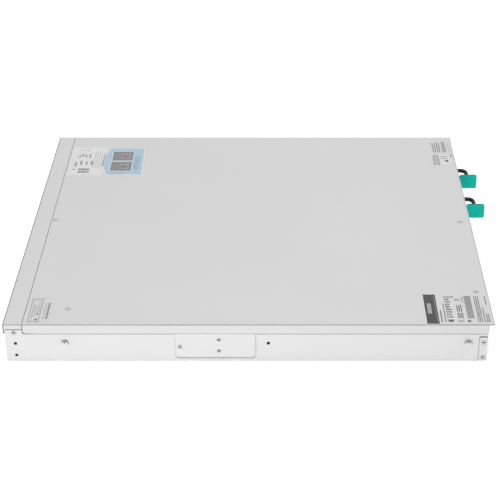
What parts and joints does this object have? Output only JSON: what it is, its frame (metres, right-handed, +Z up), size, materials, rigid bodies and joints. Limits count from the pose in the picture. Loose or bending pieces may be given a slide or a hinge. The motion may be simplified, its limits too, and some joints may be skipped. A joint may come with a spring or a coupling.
{
  "type": "rack storage server",
  "caption": "Flat one-unit rack server case with slide-off cover, hot-swap drive trays in front and twin hot-swap power supplies with bail handles and teal latches behind.",
  "frame": {"origin": "centre of the case's bottom face", "axes": "+Z up, +Y towards the rear with the power supplies, +X towards the left side seen from the front"},
  "size_m": [0.4344, 0.5122, 0.0441],
  "materials": {
    "case_paint": "light grey smooth powder coat",
    "zinc_sheet": "galvanised sheet",
    "plated_steel": "nickel plate",
    "dark_plastic": "fine moulded texture",
    "handle_black": "satin black coat",
    "latch_teal": "satin moulded plastic",
    "inlet_plastic": "satin moulded plastic",
    "fan_plastic": "satin moulded plastic",
    "circuit_board": "solder resist",
    "fin_aluminium": "mill finish",
    "drive_cast": "cast and turned",
    "socket_shell": "tin plate",
    "label_film": "printed film"
  },
  "bodies": {
    "chassis": {"floor_pan": "case_paint", "side_walls": "case_paint", "rear_panel": "case_paint", "rear_brackets": "case_paint", "front_strip": "case_paint", "front_frame": "dark_plastic", "side_plates": "case_paint", "rail_studs": "plated_steel", "chassis_screws": "plated_steel", "drive_cage": "zinc_sheet", "backplane": "circuit_board", "fan_bracket": "zinc_sheet", "fan_frame_1": "fan_plastic", "fan_frame_2": "fan_plastic", "fan_frame_3": "fan_plastic", "mainboard": "circuit_board", "heatsink": "fin_aluminium", "memory_modules": "circuit_board", "network_jacks": "socket_shell", "usb_ports": "socket_shell", "slot_cover": "zinc_sheet", "psu_cage": "zinc_sheet", "power_board": "circuit_board"},
    "cover": {"top_cover": "case_paint", "cover_screws": "plated_steel", "cover_labels": "label_film"},
    "power_button": {"power_button": "dark_plastic"},
    "tray_1": {"drive_tray_1": "dark_plastic", "hard_drive_1": "drive_cast"},
    "lever_1": {"tray_lever_1": "dark_plastic"},
    "button_1": {"tray_button_1": "dark_plastic"},
    "tray_2": {"drive_tray_2": "dark_plastic", "hard_drive_2": "drive_cast"},
    "lever_2": {"tray_lever_2": "dark_plastic"},
    "button_2": {"tray_button_2": "dark_plastic"},
    "tray_3": {"drive_tray_3": "dark_plastic", "hard_drive_3": "drive_cast"},
    "lever_3": {"tray_lever_3": "dark_plastic"},
    "button_3": {"tray_button_3": "dark_plastic"},
    "tray_4": {"drive_tray_4": "dark_plastic", "hard_drive_4": "drive_cast"},
    "lever_4": {"tray_lever_4": "dark_plastic"},
    "button_4": {"tray_button_4": "dark_plastic"},
    "rotor_1": {"fan_rotor_1": "fan_plastic"},
    "rotor_2": {"fan_rotor_2": "fan_plastic"},
    "rotor_3": {"fan_rotor_3": "fan_plastic"},
    "supply_1": {"supply_case_1": "zinc_sheet", "supply_handle_1": "handle_black", "supply_inlet_1": "inlet_plastic", "supply_board_1": "circuit_board", "supply_fan_frame_1": "fan_plastic"},
    "latch_1": {"supply_latch_1": "latch_teal"},
    "supply_rotor_1": {"supply_fan_rotor_1": "fan_plastic"},
    "supply_2": {"supply_case_2": "zinc_sheet", "supply_handle_2": "handle_black", "supply_inlet_2": "inlet_plastic", "supply_board_2": "circuit_board", "supply_fan_frame_2": "fan_plastic"},
    "latch_2": {"supply_latch_2": "latch_teal"},
    "supply_rotor_2": {"supply_fan_rotor_2": "fan_plastic"}
  },
  "joints": [
    {"name": "cover_slide", "type": "slide", "parent": "chassis", "child": "cover", "axis": [0, 1, 0], "range_m": [0, 0.015]},
    {"name": "power_button_press", "type": "slide", "parent": "chassis", "child": "power_button", "axis": [0, 1, 0], "range_m": [0, 0.0012], "stiffness_N_per_m": 400},
    {"name": "tray_1_slide", "type": "slide", "parent": "chassis", "child": "tray_1", "axis": [0, -1, 0], "range_m": [0, 0.19]},
    {"name": "lever_1_swing", "type": "hinge", "parent": "tray_1", "child": "lever_1", "pos_m": [-0.20145, -0.23815, 0.017], "axis": [0, 0, -1], "range_deg": [0, 65]},
    {"name": "button_1_press", "type": "slide", "parent": "tray_1", "child": "button_1", "axis": [0, 1, 0], "range_m": [0, 0.0015], "stiffness_N_per_m": 400},
    {"name": "tray_2_slide", "type": "slide", "parent": "chassis", "child": "tray_2", "axis": [0, -1, 0], "range_m": [0, 0.19]},
    {"name": "lever_2_swing", "type": "hinge", "parent": "tray_2", "child": "lever_2", "pos_m": [-0.09515, -0.23815, 0.017], "axis": [0, 0, -1], "range_deg": [0, 65]},
    {"name": "button_2_press", "type": "slide", "parent": "tray_2", "child": "button_2", "axis": [0, 1, 0], "range_m": [0, 0.0015], "stiffness_N_per_m": 400},
    {"name": "tray_3_slide", "type": "slide", "parent": "chassis", "child": "tray_3", "axis": [0, -1, 0], "range_m": [0, 0.19]},
    {"name": "lever_3_swing", "type": "hinge", "parent": "tray_3", "child": "lever_3", "pos_m": [0.01115, -0.23815, 0.017], "axis": [0, 0, -1], "range_deg": [0, 65]},
    {"name": "button_3_press", "type": "slide", "parent": "tray_3", "child": "button_3", "axis": [0, 1, 0], "range_m": [0, 0.0015], "stiffness_N_per_m": 400},
    {"name": "tray_4_slide", "type": "slide", "parent": "chassis", "child": "tray_4", "axis": [0, -1, 0], "range_m": [0, 0.19]},
    {"name": "lever_4_swing", "type": "hinge", "parent": "tray_4", "child": "lever_4", "pos_m": [0.11745, -0.23815, 0.017], "axis": [0, 0, -1], "range_deg": [0, 65]},
    {"name": "button_4_press", "type": "slide", "parent": "tray_4", "child": "button_4", "axis": [0, 1, 0], "range_m": [0, 0.0015], "stiffness_N_per_m": 400},
    {"name": "fan_1_spin", "type": "hinge", "parent": "chassis", "child": "rotor_1", "pos_m": [-0.135, -0.04195, 0.0212], "axis": [0, 1, 0], "continuous": true},
    {"name": "fan_2_spin", "type": "hinge", "parent": "chassis", "child": "rotor_2", "pos_m": [0, -0.04195, 0.0212], "axis": [0, 1, 0], "continuous": true},
    {"name": "fan_3_spin", "type": "hinge", "parent": "chassis", "child": "rotor_3", "pos_m": [0.135, -0.04195, 0.0212], "axis": [0, 1, 0], "continuous": true},
    {"name": "supply_1_slide", "type": "slide", "parent": "chassis", "child": "supply_1", "axis": [0, 1, 0], "range_m": [0, 0.2]},
    {"name": "latch_1_squeeze", "type": "hinge", "parent": "supply_1", "child": "latch_1", "pos_m": [-0.1406, 0.22885, 0.02], "axis": [0, 0, 1], "range_deg": [0, 6], "stiffness_Nm_per_rad": 0.6},
    {"name": "supply_fan_1_spin", "type": "hinge", "parent": "supply_1", "child": "supply_rotor_1", "pos_m": [-0.1616, 0.21985, 0.0217], "axis": [0, 1, 0], "continuous": true},
    {"name": "supply_2_slide", "type": "slide", "parent": "chassis", "child": "supply_2", "axis": [0, 1, 0], "range_m": [0, 0.2]},
    {"name": "latch_2_squeeze", "type": "hinge", "parent": "supply_2", "child": "latch_2", "pos_m": [-0.0656, 0.22885, 0.02], "axis": [0, 0, 1], "range_deg": [0, 6], "stiffness_Nm_per_rad": 0.6},
    {"name": "supply_fan_2_spin", "type": "hinge", "parent": "supply_2", "child": "supply_rotor_2", "pos_m": [-0.0866, 0.21985, 0.0217], "axis": [0, 1, 0], "continuous": true}
  ]
}
